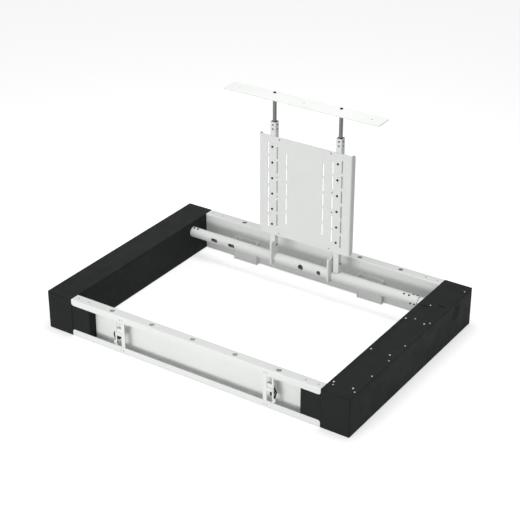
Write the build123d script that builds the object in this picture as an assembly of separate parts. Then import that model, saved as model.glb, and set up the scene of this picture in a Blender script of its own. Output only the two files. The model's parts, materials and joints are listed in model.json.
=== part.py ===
from build123d import *
import math
import os

# Swing-out display lift: a flat floor frame of two side boxes and two channel rails,
# and a cross tube that swings a display plate, its two columns and a lid strip.
# Millimetres. +X runs from the left box to the right box, +Y to the back, +Z up.
# The origin is the centre of the frame's footprint, on its underside.

# Frame
frame_width = 1600.0
frame_depth = 1100.0
frame_height = 190.0

# Side boxes, folded trays under flat covers
box_width = 140.0
box_sheet = 2.5
box_fold = 5.0
cover_sheet = 2.5
rim_width = 30.0
cover_screw_size = 4.0
cover_screw_length = 9.0
cover_screw_inset = 13.0
cover_screw_end = 55.0
cover_screw_pitch = 142.0
cover_screw_run = 4
cover_screw_before_axis = 228.0
cover_corner_screw_inset = 26.0

# Channel rails at the front and the back
channel_depth = 52.0
rail_sheet = 3.0
rail_fold = 4.5
low_lip_height = 34.0
high_lip_height = 30.0
lip_corner = 12.0
fixing_hole = 24.0
fixing_pitch = 221.0
fixing_count = 5
fixing_inset = 26.0
web_holes_x = (-60.0, 90.0)
web_hole_z = 133.0
web_hole_radius = 3.0

# Blocks that join each rail end to its box
joint_length = 98.0
joint_wall = 3.0
joint_screw_size = 5.0
joint_screw_ends = (25.0, 86.0)
joint_bolt_size = 8.0
joint_bolt_height = 45.0

# Pocket brackets on the back rail
bracket_width = 133.0
bracket_height = 119.0
bracket_reach = 26.0
bracket_sheet = 3.5
bracket_fold = 5.0
bracket_front_height = 90.0
bracket_front_setback = 4.0
bracket_left_from_box = 255.0
bracket_right_from_box = 354.0
bracket_screw_size = 6.0
bracket_screw_spacing = 80.0
bracket_screw_height = 32.0

# Cross tube, the hinge axis of everything that swings
axis_inset = 165.0
axis_z = 136.5
tube_radius = 25.0
tube_wall = 4.0
tube_left_entry = 9.0
tube_right_gap = 45.0
groove_width = 5.0
slot_hole_length = 38.0
slot_hole_width = 19.0
slot_hole_places = (155.0, 256.4)
round_hole_radius = 14.5
round_hole_x = -11.0
small_hole_radius = 11.0
small_hole_x = 90.0
tube_screw_size = 5.0
tube_screw_grip = 6.0
right_ring_places = (12.0, 32.0)
right_ring_angles = (-15.0, 105.0, 225.0)
right_top_places = (48.0, 74.0)
right_top_angle = 68.0
left_ring_places = (21.0, 43.0)
left_ring_angles = (77.0, 257.0)

# Stub shafts in the tube ends and their bearings
plug_length = 84.0
journal_radius = 15.0
hub_entry = 9.0
wall_hole_clearance = 1.5
bush_wall = 4.0
housing_side = 88.0
housing_corner = 10.0
housing_plate = 8.0
housing_boss_radius = 34.0
housing_depth = 22.0
housing_bolt_size = 6.0
housing_bolt_spacing = 64.0
collar_radius = 24.0
collar_width = 12.0
shaft_overrun = 4.0

# Display plate and its columns
column_spacing = 354.0
column_side = 30.0
column_wall = 2.0
column_corner = 4.0
column_top = 845.0
column_foot_gap = 4.0
plate_width = 500.0
plate_height = 510.0
plate_centre_z = 522.0
plate_sheet = 3.0
plate_fold = 8.0
plate_flange = 32.0
plate_flange_corner = 20.0
slot_width = 7.0
slot_length = 63.0
slot_pitch = 76.0
outer_slots_x = 200.0
middle_slots_x = 150.0
inner_slots_x = 100.0
slot_end_margin = 25.0
middle_slot_rise = 100.0
end_slot_rise = 174.0
pattern_hole_radius = 4.0
pattern_hole_rise = 50.0
corner_hole_spacing = 278.0
corner_hole_inset = 12.0
between_slots_radius = 3.5
hole_collar_radius = 7.0
hole_collar_length = 8.0
plate_screw_size = 6.0
plate_screw_pitch = 80.0
plate_screw_count = 6
arm_sheet = 10.0
arm_front = 46.0
arm_back = 25.0
arm_bottom = 23.0
arm_top = 97.0
arm_corner = 8.0
arm_column_gap = 5.0
arm_spacer_radius = 9.0
arm_bolt_size = 5.0
arm_bolt_z = 207.0

# Height rods and the lid strip that they carry
rod_radius = 9.0
rod_length = 420.0
rod_tap_depth = 26.0
rod_chamfer = 1.5
strip_length = 822.0
strip_width = 98.0
strip_sheet = 4.0
strip_top = 984.0
strip_front_overhang = 80.0
strip_corner = 10.0
strip_hole_radius = 4.0
strip_hole_spacing = 350.0
strip_screw_size = 8.0
strip_screw_length = 24.0
sleeve_length = 60.0
sleeve_drop = 1.0
clamp_screw_size = 8.0
clamp_screw_drops = (15.0, 36.0)
clamp_screw_sink = 0.5
clamp_socket_radius = 2.3
clamp_socket_depth = 3.0

# Drive in the right box: a screw actuator pushes a rack that turns the tube's gear
gear_module = 4.0
gear_teeth = 20
pressure_angle = 20.0
flank_steps = 6
gear_width = 24.0
gear_backlash = 0.4
gear_from_wall = 40.0
gear_hub_radius = 24.0
gear_hub_side = 3.0
key_width = 8.0
key_height = 7.0
rack_teeth_back = 2
rack_teeth_front = 7
rack_body = 15.0
rack_tang = 30.0
actuator_radius = 25.0
motor_before_axis = 610.0
motor_length = 150.0
motor_round = 5.0
gearbox_length = 50.0
actuator_tube_length = 175.0
actuator_wall = 3.0
end_cap_length = 14.0
end_cap_spigot = 6.0
push_rod_radius = 14.0
push_rod_wall = 4.0
nut_length = 26.0
nut_radius = 17.0
nut_stop_gap = 8.0
lead_screw_radius = 7.0
stud_radius = 6.0
stud_length = 24.0
pin_radius = 3.0
cross_plate = 4.0
cross_flange = 22.0
cross_width = 112.0
cross_offset = 7.0
cross_screw_size = 5.0
cross_screw_length = 9.0
cross_screw_spacing = 91.0
front_cross_inset = 75.0
middle_cross_before_axis = 554.0
back_cross_before_axis = 247.0
guide_length = 70.0
guide_cheek = 4.0
guide_cheek_rise = 10.0
guide_foot = 8.0
outer_plate = 8.0
outer_plate_gap = 8.0
outer_plate_depth = 84.0
outer_plate_rise = 38.0
outer_plate_corner = 14.0
outer_foot = 22.0

# Control box, inlet and vent
control_length = 153.0
control_width = 44.0
control_height = 42.0
control_wall = 2.5
control_corner = 4.0
control_before_axis = 157.0
control_from_wall = 55.0
control_screw_size = 4.0
control_screw_length = 8.0
control_screw_spacing = 143.0
control_post_radius = 4.5
board_post_radius = 3.0
board_post_inset = 10.0
board_thickness = 1.6
board_standoff = 5.0
board_clearance = 1.0
cable_slot_length = 32.0
cable_slot_width = 6.0
cable_slots_from_wall = (34.5, 101.0)
cable_slots_before_back = (268.0, 230.0)
inlet_width = 27.0
inlet_height = 20.0
inlet_wall = 2.0
inlet_flange = 4.0
inlet_flange_sheet = 3.0
inlet_depth = 22.0
inlet_recess = 0.2
inlet_pin = 2.0
inlet_from_wall = 85.0
inlet_z = 60.0
vent_hole_radius = 2.8
vent_ring_radii = (11.0, 22.0, 33.0)
vent_ring_pitch = 11.5

# Stiffeners in the left box
front_stiffener_inset = 105.0
back_stiffener_inset = 299.0
stiffener_sheet = 3.0
stiffener_fold = 6.0
stiffener_flange = 24.0
stiffener_screw_size = 5.0
stiffener_screw_z = 158.0

# Panel catches inside the front rail; each stands this far from its box
left_catch_from_box = 247.0
right_catch_from_box = 230.0
catch_width = 53.5
catch_sheet = 3.0
catch_end_gap = 2.0
catch_bar_width = 19.0
catch_edge_width = 8.0
catch_window_low = 35.0
catch_window_high = 156.0
catch_screw_size = 4.0
catch_screw_inset = 15.5
catch_screw_spacing = 14.0
catch_screw_low_z = 16.5
catch_screw_high_z = 172.0
catch_block_low_z = 84.0
catch_block_height = 36.0
catch_block_depth = 20.0
catch_block_cover = 4.0
catch_block_chamfer = 2.0
catch_nose_rise = 3.0
catch_nose_height = 16.0
catch_button_cover = 2.0
catch_button_depth = 2.5
catch_buffer_height = 20.0
catch_buffer_width = 14.0
catch_buffer_corner = 3.0
catch_seat_width = 2.0
catch_ear = 9.0
catch_lever_sheet = 5.0
catch_lever_corner = 1.5
catch_lever_width = 5.0
catch_lever_knee = (14.0, 39.0)
catch_lever_tip = (3.0, 61.0)
catch_pivot_z = 47.0
catch_pivot_inset = 3.0
catch_pivot_radius = 2.5
catch_pin_head = 4.0
catch_pin_head_height = 2.0

# Screw heads and sockets, as shares of the thread's size
head_radius_share = 0.9
head_height_share = 0.5
head_round_share = 0.22
socket_radius_share = 0.33
socket_depth_share = 0.32
flat_head_radius_share = 0.95
flat_head_depth_share = 0.5
flat_socket_depth_share = 0.4

# Fits, and how far a cut runs past the face that it opens
slide_clearance = 0.3
running_clearance = 0.05
seat_clearance = 0.1
past = 1.0

# Worked-out places
half_width = frame_width / 2
half_depth = frame_depth / 2
inner_x = half_width - box_width
box_inner_fold = box_fold - box_sheet
tray_top = frame_height - cover_sheet
back_web_y = half_depth - channel_depth
rail_inner_fold = rail_fold - rail_sheet
bracket_left_x = -inner_x + bracket_left_from_box
bracket_right_x = inner_x - bracket_right_from_box
axis_y = half_depth - axis_inset
tube_left_x = -inner_x - tube_left_entry
tube_right_x = inner_x - tube_right_gap
hub_end_x = inner_x + hub_entry
column_x = column_spacing / 2
column_front_y = axis_y - column_side / 2
plate_front_y = column_front_y - plate_sheet
plate_bottom = plate_centre_z - plate_height / 2
plate_top = plate_centre_z + plate_height / 2
corner_hole_rise = plate_height / 2 - corner_hole_inset
outer_slot_count = int((plate_height - 2 * slot_end_margin) / slot_pitch)
inner_slot_count = outer_slot_count - 1
strip_bottom = strip_top - strip_sheet
sleeve_top = column_top - sleeve_drop
gear_plane_x = inner_x + gear_from_wall
pitch_radius = gear_module * gear_teeth / 2
rack_pitch = math.pi * gear_module
tooth_depth = 1.25 * gear_module
rack_pitch_z = axis_z - pitch_radius
rack_root_z = rack_pitch_z - tooth_depth
rack_bottom_z = rack_root_z - rack_body
drive_z = (rack_root_z + rack_bottom_z) / 2
rack_back_y = axis_y + rack_teeth_back * rack_pitch
rack_front_y = axis_y - rack_teeth_front * rack_pitch
rack_tang_y = rack_front_y - rack_tang
rack_travel = pitch_radius * math.pi / 2
plug_radius = tube_radius - tube_wall - seat_clearance
bush_radius = journal_radius + running_clearance + bush_wall
wall_hole_radius = tube_radius + wall_hole_clearance
housing_x = inner_x + box_sheet
boss_x = housing_x + housing_plate
housing_end_x = housing_x + housing_depth
gear_low_x = gear_plane_x - gear_width / 2
gear_high_x = gear_plane_x + gear_width / 2
outer_plate_x = gear_high_x + outer_plate_gap
motor_front_y = axis_y - motor_before_axis
gearbox_y = motor_front_y + motor_length
actuator_tube_y = gearbox_y + gearbox_length
end_cap_y = actuator_tube_y + actuator_tube_length
nut_y = end_cap_y - rack_travel - nut_length - nut_stop_gap
screw_end_y = end_cap_y - nut_stop_gap
box_centre_x = half_width - box_width / 2
cross_centre_x = box_centre_x - cross_offset
cross_y = (-half_depth + front_cross_inset, axis_y - middle_cross_before_axis, axis_y - back_cross_before_axis)
control_x = inner_x + control_from_wall
control_y = axis_y - control_before_axis
inlet_x = inner_x + inlet_from_wall
front_stiffener_y = -half_depth + front_stiffener_inset
back_stiffener_y = half_depth - back_stiffener_inset
stiffener_y = (front_stiffener_y, (front_stiffener_y + back_stiffener_y) / 2, back_stiffener_y)
catch_front = -half_depth + rail_sheet
catch_back = catch_front + catch_sheet


def block(x0, x1, y0, y1, z0, z1):
    """A box between two corners."""
    size = Box(abs(x1 - x0), abs(y1 - y0), abs(z1 - z0))
    return Pos((x0 + x1) / 2, (y0 + y1) / 2, (z0 + z1) / 2) * size


def bar_x(radius, x0, x1, y, z):
    """A round bar along X."""
    return Pos((x0 + x1) / 2, y, z) * Rot(0, 90, 0) * Cylinder(radius, abs(x1 - x0))


def bar_y(radius, x, y0, y1, z):
    """A round bar along Y."""
    return Pos(x, (y0 + y1) / 2, z) * Rot(90, 0, 0) * Cylinder(radius, abs(y1 - y0))


def bar_z(radius, x, y, z0, z1):
    """A round bar along Z."""
    return Pos(x, y, (z0 + z1) / 2) * Cylinder(radius, abs(z1 - z0))


def mirrored(shape):
    """The same shape on the other side of the centre plane."""
    return mirror(shape, about=Plane.YZ)


def screw(point, outward, size, length):
    """A button-head socket screw: its head stands on point, its shank goes the other way."""
    seat = Plane(origin=point, z_dir=outward)
    head_height = head_height_share * size
    head = extrude(seat * Circle(head_radius_share * size), head_height)
    head = fillet(head.faces().sort_by(Axis(point, outward))[-1].edges(), head_round_share * size)
    shank = extrude(seat * Circle(size / 2), -length)
    socket_plane = seat.offset(head_height)
    socket = extrude(socket_plane * RegularPolygon(socket_radius_share * size, 6), -socket_depth_share * size)
    return head + shank - socket


def screw_hole(point, outward, size, length):
    """The clearance hole that a screw of this size passes through."""
    seat = Plane(origin=point, z_dir=outward)
    return extrude(seat * Circle(size / 2 + seat_clearance), -length)


def flat_screw(point, outward, size, length):
    """A countersunk screw whose flat head is flush with point."""
    seat = Plane(origin=point, z_dir=outward)
    neck = seat.offset(-flat_head_depth_share * size) * Circle(size / 2)
    body = extrude(seat * Circle(size / 2), -length)
    body += loft([seat * Circle(flat_head_radius_share * size), neck])
    socket = extrude(seat * RegularPolygon(socket_radius_share * size, 6), -flat_socket_depth_share * size)
    return body - socket


def flat_screw_hole(point, outward, size, length):
    """The countersunk hole for a flat screw."""
    seat = Plane(origin=point, z_dir=outward)
    head = Circle(flat_head_radius_share * size + seat_clearance)
    neck = Circle(size / 2 + seat_clearance)
    cone = loft([seat * head, seat.offset(-flat_head_depth_share * size) * neck])
    return extrude(seat * neck, -length) + cone


def prism_x(points, x0, x1):
    """An outline of (y, z) points carried along X from x0 to x1."""
    face = make_face(Plane.YZ.offset(x0) * Polyline(*points, close=True))
    return extrude(face, x1 - x0, dir=(1, 0, 0))


def prism_y(points, y0, y1):
    """An outline of (x, z) points carried along Y from y0 to y1."""
    corners = [(x, y0, z) for x, z in points]
    return extrude(make_face(Polyline(*corners, close=True)), y1 - y0, dir=(0, 1, 0))


def upright_slot(x, y0, y1, z, length, width):
    """A slot that runs up Z and goes through along Y."""
    run = length - width
    middle = block(x - width / 2, x + width / 2, y0, y1, z - run / 2, z + run / 2)
    return middle + bar_y(width / 2, x, y0, y1, z - run / 2) + bar_y(width / 2, x, y0, y1, z + run / 2)


# Side boxes

def cover_screw_places(side):
    """Where the cover's own screws stand: an outer row and one at the front inner corner."""
    x = side * (half_width - cover_screw_inset)
    ys = [-half_depth + cover_screw_end + i * cover_screw_pitch for i in range(cover_screw_run)]
    ys += [axis_y - cover_screw_before_axis, half_depth - cover_screw_end]
    corner = (side * (inner_x + cover_corner_screw_inset), -half_depth + cover_screw_end, frame_height)
    return [(x, y, frame_height) for y in ys] + [corner]


def cross_screw_places():
    """Where the right cover is screwed down to the cross plates under it."""
    places = []
    for y in cross_y:
        for end in (-1, 1):
            places.append((cross_centre_x + end * cross_screw_spacing / 2, y, frame_height))
    return places


def control_screw_places():
    """Where the control box hangs from the right cover."""
    return [(control_x, control_y + end * control_screw_spacing / 2, frame_height) for end in (-1, 1)]


def joint_bolt_places(side, end):
    """Bolts from inside a box into the joint block on its inner wall."""
    y = end * (half_depth - channel_depth / 2)
    x = side * (inner_x + box_sheet)
    return [(x, y, joint_bolt_height), (x, y, frame_height - joint_bolt_height)]


def housing_bolt_places(side):
    """Bolts that hold a bearing housing to its box wall."""
    x = side * boss_x
    half = housing_bolt_spacing / 2
    return [(x, axis_y + dy, axis_z + dz) for dy in (-half, half) for dz in (-half, half)]


def box_span(side):
    """The lowest and highest x of a side box."""
    return (-half_width, -inner_x) if side < 0 else (inner_x, half_width)


def side_tray(side):
    """One folded box: floor, four walls and an inward rim under the cover, all bends rounded."""
    low, high = box_span(side)
    tray = block(low, high, -half_depth, half_depth, 0, tray_top)
    tray = fillet(tray.edges(), box_fold)
    hollow = block(low + box_sheet, high - box_sheet, -half_depth + box_sheet, half_depth - box_sheet,
                   box_sheet, tray_top - box_sheet)
    tray -= fillet(hollow.edges(), box_inner_fold)
    tray -= block(low + rim_width, high - rim_width, -half_depth + rim_width, half_depth - rim_width,
                  tray_top - 2 * box_sheet, tray_top + past)
    cuts = [bar_x(wall_hole_radius, side * (inner_x - past), side * (housing_x + past), axis_y, axis_z)]
    for place in cover_screw_places(side):
        cuts.append(screw_hole(place, (0, 0, 1), cover_screw_size, 2 * (cover_sheet + box_sheet)))
    for end in (-1, 1):
        for place in joint_bolt_places(side, end):
            cuts.append(screw_hole(place, (side, 0, 0), joint_bolt_size, 2 * box_sheet))
    for place in housing_bolt_places(side):
        cuts.append(screw_hole(place, (side, 0, 0), housing_bolt_size, housing_plate + 2 * box_sheet))
    if side > 0:
        grow = seat_clearance
        cuts.append(block(inlet_x - inlet_width / 2 - grow, inlet_x + inlet_width / 2 + grow,
                          half_depth - 2 * box_sheet, half_depth + past,
                          inlet_z - inlet_height / 2 - grow, inlet_z + inlet_height / 2 + grow))
        cuts += vent_holes()
        reach = 2 * (cover_sheet + box_sheet)
        cuts += [screw_hole(place, (0, 0, 1), cross_screw_size, reach) for place in cross_screw_places()]
    else:
        for place in stiffener_screw_places():
            cuts.append(screw_hole(place, (1, 0, 0), stiffener_screw_size, 2 * box_sheet))
    return tray - cuts


def vent_holes():
    """Rings of small round holes in the right box's outer wall, round the shaft's line."""
    outer = half_width + past
    holes = [bar_x(vent_hole_radius, half_width - 2 * box_sheet, outer, axis_y, axis_z)]
    for radius in vent_ring_radii:
        count = round(2 * math.pi * radius / vent_ring_pitch)
        for i in range(count):
            turn = 2 * math.pi * i / count
            y = axis_y + radius * math.cos(turn)
            z = axis_z + radius * math.sin(turn)
            holes.append(bar_x(vent_hole_radius, half_width - 2 * box_sheet, outer, y, z))
    return holes


def side_cover(side):
    """The flat cover plate on a box."""
    low, high = box_span(side)
    cover = block(low, high, -half_depth, half_depth, tray_top, frame_height)
    cover = fillet(cover.edges().filter_by(Axis.Z), box_fold)
    cuts = []
    for place in cover_screw_places(side):
        cuts.append(screw_hole(place, (0, 0, 1), cover_screw_size, 2 * cover_sheet))
    if side > 0:
        for place in cross_screw_places():
            cuts.append(screw_hole(place, (0, 0, 1), cross_screw_size, 2 * cover_sheet))
        for place in control_screw_places():
            cuts.append(screw_hole(place, (0, 0, 1), control_screw_size, 2 * cover_sheet))
        for from_wall, before_back in zip(cable_slots_from_wall, cable_slots_before_back):
            slot = SlotOverall(cable_slot_length, cable_slot_width)
            slot = Pos(inner_x + from_wall, half_depth - before_back) * slot
            cuts.append(extrude(Plane.XY.offset(tray_top - past) * slot, cover_sheet + 2 * past))
    return cover - cuts


def cover_screws():
    """All screws that enter the two covers from above."""
    up = (0, 0, 1)
    made = []
    for side in (-1, 1):
        made += [screw(place, up, cover_screw_size, cover_screw_length) for place in cover_screw_places(side)]
    made += [screw(place, up, cross_screw_size, cross_screw_length) for place in cross_screw_places()]
    made += [screw(place, up, control_screw_size, control_screw_length) for place in control_screw_places()]
    return Compound(children=made)


# Rails

def channel(end):
    """A lipped channel between the boxes; end is -1 at the front and 1 at the back."""
    web_y = end * (half_depth - channel_depth)
    open_y = end * half_depth
    body = block(-inner_x, inner_x, web_y, open_y, 0, frame_height)
    body = fillet(body.edges().filter_by(Axis.X), rail_fold)
    hollow = block(-inner_x - past, inner_x + past, web_y + end * rail_sheet, open_y - end * rail_sheet,
                   rail_sheet, frame_height - rail_sheet)
    hollow = fillet(hollow.edges().filter_by(Axis.X), rail_inner_fold)
    mouth = block(-inner_x - past, inner_x + past, open_y - end * (rail_sheet + past), open_y + end * past,
                  low_lip_height, frame_height - high_lip_height)
    cuts = [hollow, mouth]
    hole_y = open_y - end * fixing_inset
    for i in range(fixing_count):
        x = (i - (fixing_count - 1) / 2) * fixing_pitch
        cuts.append(bar_z(fixing_hole / 2, x, hole_y, frame_height - 2 * rail_sheet, frame_height + past))
    for side in (-1, 1):
        for place, way in joint_screw_places(side, end):
            cuts.append(flat_screw_hole(place, way, joint_screw_size, 2 * rail_sheet))
    if end < 0:
        for side in (-1, 1):
            for place in catch_screw_places(side):
                cuts.append(flat_screw_hole(place, (0, -1, 0), catch_screw_size, 2 * rail_sheet))
        for x in web_holes_x:
            cuts.append(bar_y(web_hole_radius, x, web_y - 2 * rail_sheet, web_y + past, web_hole_z))
    else:
        for x in (bracket_left_x, bracket_right_x):
            for place in bracket_screw_places(x):
                cuts.append(screw_hole(place, (0, -1, 0), bracket_screw_size, 2 * (bracket_sheet + rail_sheet)))
    body -= cuts
    return round_lip_ends(body, open_y)


def round_lip_ends(body, open_y):
    """Rounds the free corners of both lips."""
    near = 0.01
    corners = []
    for edge in body.edges().filter_by(Axis.Y):
        middle = edge.center()
        free_z = min(abs(middle.Z - low_lip_height), abs(middle.Z - frame_height + high_lip_height)) < near
        if abs(abs(middle.X) - inner_x) < near and free_z and abs(middle.Y - open_y) < 2 * rail_sheet:
            corners.append(edge)
    return fillet(corners, lip_corner)


def joint_screw_places(side, end):
    """Screws through the flanges into a joint block, top and bottom."""
    y = end * (half_depth - fixing_inset)
    places = []
    for inset in joint_screw_ends:
        x = side * (inner_x - inset)
        places.append(((x, y, frame_height), (0, 0, 1)))
        places.append(((x, y, 0), (0, 0, -1)))
    return places


def joint_blocks():
    """Four folded blocks, each on a box's inner wall and inside a rail's end."""
    blocks = []
    reach = 2 * (rail_sheet + joint_wall)
    for side in (-1, 1):
        for end in (-1, 1):
            x0, x1 = side * inner_x, side * (inner_x - joint_length)
            mouth_y = end * (half_depth - rail_sheet)
            web_y = end * (half_depth - channel_depth + rail_sheet)
            body = block(x0, x1, mouth_y, web_y, rail_sheet, frame_height - rail_sheet)
            body = fillet(body.edges().filter_by(Axis.X), 2 * rail_inner_fold)
            body -= block(x0 - side * joint_wall, x1 + side * joint_wall,
                          mouth_y - end * joint_wall, web_y - end * past,
                          rail_sheet + joint_wall, frame_height - rail_sheet - joint_wall)
            cuts = []
            for place, way in joint_screw_places(side, end):
                cuts.append(screw_hole(place, way, joint_screw_size, reach))
            for place in joint_bolt_places(side, end):
                cuts.append(screw_hole(place, (side, 0, 0), joint_bolt_size, 2 * (box_sheet + joint_wall)))
            blocks.append(body - cuts)
    return Compound(children=blocks)


def joint_screws():
    """Flat screws through the flanges, top and bottom."""
    length = rail_sheet + joint_wall + joint_screw_size
    made = []
    for side in (-1, 1):
        for end in (-1, 1):
            for place, way in joint_screw_places(side, end):
                made.append(flat_screw(place, way, joint_screw_size, length))
    return Compound(children=made)


def inner_wall_screws():
    """Screws in the boxes' inner walls: joint blocks, bearing housings and stiffeners."""
    made = []
    for side in (-1, 1):
        way = (side, 0, 0)
        for end in (-1, 1):
            for place in joint_bolt_places(side, end):
                made.append(screw(place, way, joint_bolt_size, box_sheet + joint_wall + joint_bolt_size / 2))
        for place in housing_bolt_places(side):
            made.append(screw(place, way, housing_bolt_size, housing_plate + box_sheet))
    for place in stiffener_screw_places():
        made.append(screw(place, (1, 0, 0), stiffener_screw_size, box_sheet + stiffener_sheet + box_sheet))
    return Compound(children=made)


# Brackets on the back rail

def bracket_screw_places(x):
    """Two screws through the bracket's back plate into the rail's web."""
    y = back_web_y - bracket_sheet
    half = bracket_screw_spacing / 2
    return [(x - half, y, bracket_screw_height), (x + half, y, bracket_screw_height)]


def beam_bracket(x):
    """A pocket: a back plate on the web, two side flanges and a lower front plate set back between them."""
    low, high = x - bracket_width / 2, x + bracket_width / 2
    front, back = back_web_y - bracket_reach, back_web_y
    inner_fold = bracket_fold - bracket_sheet
    body = block(low, high, front, back, 0, bracket_height)
    body = fillet(body.edges().filter_by(Axis.Z).sort_by(Axis.Y)[-2:], bracket_fold)
    hollow = block(low + bracket_sheet, high - bracket_sheet, front - past, back - bracket_sheet,
                   -past, bracket_height + past)
    body -= fillet(hollow.edges().filter_by(Axis.Z).sort_by(Axis.Y)[-2:], inner_fold)
    face = front + bracket_front_setback
    body += block(low + bracket_sheet, high - bracket_sheet, face, face + bracket_sheet, 0,
                  bracket_front_height)
    reach = 2 * (bracket_sheet + rail_sheet)
    holes = [screw_hole(place, (0, -1, 0), bracket_screw_size, reach) for place in bracket_screw_places(x)]
    return body - holes


def bracket_screws():
    """Screws of both brackets."""
    length = bracket_sheet + rail_sheet + bracket_screw_size / 2
    made = []
    for x in (bracket_left_x, bracket_right_x):
        for place in bracket_screw_places(x):
            made.append(screw(place, (0, -1, 0), bracket_screw_size, length))
    return Compound(children=made)


# Swinging part

def tube_screw_places():
    """Radial screws that pin the stub shafts in the tube: x and angle above the front."""
    places = [(tube_right_x - inset, angle) for inset in right_ring_places for angle in right_ring_angles]
    places += [(tube_right_x - inset, right_top_angle) for inset in right_top_places]
    places += [(tube_left_x + inset, angle) for inset in left_ring_places for angle in left_ring_angles]
    return places


def radial(x, angle):
    """A point on the tube's skin and the way out of it."""
    turn = math.radians(angle)
    way = (0, -math.cos(turn), math.sin(turn))
    point = (x, axis_y + tube_radius * way[1], axis_z + tube_radius * way[2])
    return point, way


def cross_tube():
    """The hollow tube with its access holes."""
    tube = bar_x(tube_radius, tube_left_x, tube_right_x, axis_y, axis_z)
    tube -= bar_x(tube_radius - tube_wall, tube_left_x - past, tube_right_x + past, axis_y, axis_z)
    front = axis_y - tube_radius - past
    cuts = []
    run = slot_hole_length - slot_hole_width
    for place in slot_hole_places:
        x = tube_left_x + place
        slot = block(x - run / 2, x + run / 2, front, axis_y, axis_z - slot_hole_width / 2,
                     axis_z + slot_hole_width / 2)
        slot += bar_y(slot_hole_width / 2, x - run / 2, front, axis_y, axis_z)
        slot += bar_y(slot_hole_width / 2, x + run / 2, front, axis_y, axis_z)
        cuts.append(slot)
    cuts.append(bar_y(round_hole_radius, round_hole_x, front, axis_y, axis_z))
    cuts.append(bar_y(small_hole_radius, small_hole_x, front, axis_y, axis_z))
    for x, angle in tube_screw_places():
        point, way = radial(x, angle)
        cuts.append(screw_hole(point, way, tube_screw_size, 2 * tube_wall))
    return tube - cuts


def tube_screws():
    """The screws in the tube's ends."""
    made = []
    for x, angle in tube_screw_places():
        point, way = radial(x, angle)
        made.append(screw(point, way, tube_screw_size, tube_wall + tube_screw_grip))
    return Compound(children=made)


def left_stub():
    """The left shaft: a plug in the tube and a journal into the left box."""
    body = bar_x(plug_radius, tube_left_x, tube_left_x + plug_length, axis_y, axis_z)
    shaft_end = -(housing_end_x + slide_clearance + collar_width)
    body += bar_x(journal_radius, shaft_end, tube_left_x, axis_y, axis_z)
    return body - tube_screw_pockets()


def right_stub():
    """The right shaft: plug, hub outside the tube, journal, gear seat and outer journal."""
    hub_x = tube_right_x + groove_width
    body = bar_x(plug_radius, tube_right_x - plug_length, hub_x, axis_y, axis_z)
    body += bar_x(tube_radius, hub_x, hub_end_x, axis_y, axis_z)
    shaft_end = outer_plate_x + outer_plate + shaft_overrun
    body += bar_x(journal_radius, hub_end_x, shaft_end, axis_y, axis_z)
    body -= key_block(seat_clearance)
    return body - tube_screw_pockets()


def tube_screw_pockets():
    """Tapped holes in the plugs under the tube's screws."""
    pockets = []
    for x, angle in tube_screw_places():
        point, way = radial(x, angle)
        pockets.append(screw_hole(point, way, tube_screw_size, tube_wall + tube_screw_grip + past))
    return pockets


def key_block(extra):
    """The key between shaft and gear, grown by extra for its seats."""
    half = key_width / 2 + extra
    base = axis_z + journal_radius - key_height / 2 - extra
    return block(gear_low_x - extra, gear_high_x + extra, axis_y - half, axis_y + half, base,
                 base + key_height + 2 * extra)


def square_column(side):
    """A square tube whose foot follows the cross tube, a small gap above it."""
    x = side * column_x
    half = column_side / 2
    bore = half - column_wall
    column = block(x - half, x + half, axis_y - half, axis_y + half, axis_z, column_top)
    column = fillet(column.edges().filter_by(Axis.Z), column_corner)
    inside = block(x - bore, x + bore, axis_y - bore, axis_y + bore, axis_z - past, column_top + past)
    column -= fillet(inside.edges().filter_by(Axis.Z), column_corner - column_wall)
    cuts = [bar_x(tube_radius + column_foot_gap, x - column_side, x + column_side, axis_y, axis_z)]
    for place in plate_screw_places(side):
        cuts.append(screw_hole(place, (0, -1, 0), plate_screw_size, plate_sheet + 2 * column_wall))
    for place, way in clamp_screw_places(side):
        cuts.append(screw_hole(place, way, clamp_screw_size, 2 * column_wall))
    cuts.append(screw_hole(*arm_bolt_place(side), arm_bolt_size, 2 * column_side))
    return column - cuts


def plate_screw_places(side):
    """Screws through the plate into a column's front wall."""
    x = side * column_x
    middle = (plate_screw_count - 1) / 2
    rises = [(i - middle) * plate_screw_pitch for i in range(plate_screw_count)]
    return [(x, plate_front_y, plate_centre_z + rise) for rise in rises]


def plate_screws():
    """The twelve screws of the plate."""
    made = []
    for side in (-1, 1):
        for place in plate_screw_places(side):
            made.append(screw(place, (0, -1, 0), plate_screw_size, plate_sheet + column_wall + past))
    return Compound(children=made)


def slot_columns():
    """Each slot column: its x and the heights of its slots above the plate's centre."""
    outer = [(i - (outer_slot_count - 1) / 2) * slot_pitch for i in range(outer_slot_count)]
    inner = [(i - (inner_slot_count - 1) / 2) * slot_pitch for i in range(inner_slot_count)]
    middle = [-end_slot_rise, -middle_slot_rise, 0, middle_slot_rise, end_slot_rise]
    return [(outer_slots_x, outer), (middle_slots_x, middle), (inner_slots_x, inner)]


def pattern_hole_places():
    """The plate's round holes: four between the middle slots and one near each corner."""
    places = []
    for side in (-1, 1):
        for end in (-1, 1):
            places.append((side * middle_slots_x, plate_centre_z + end * pattern_hole_rise))
            places.append((side * corner_hole_spacing / 2, plate_centre_z + end * corner_hole_rise))
    return places


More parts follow.
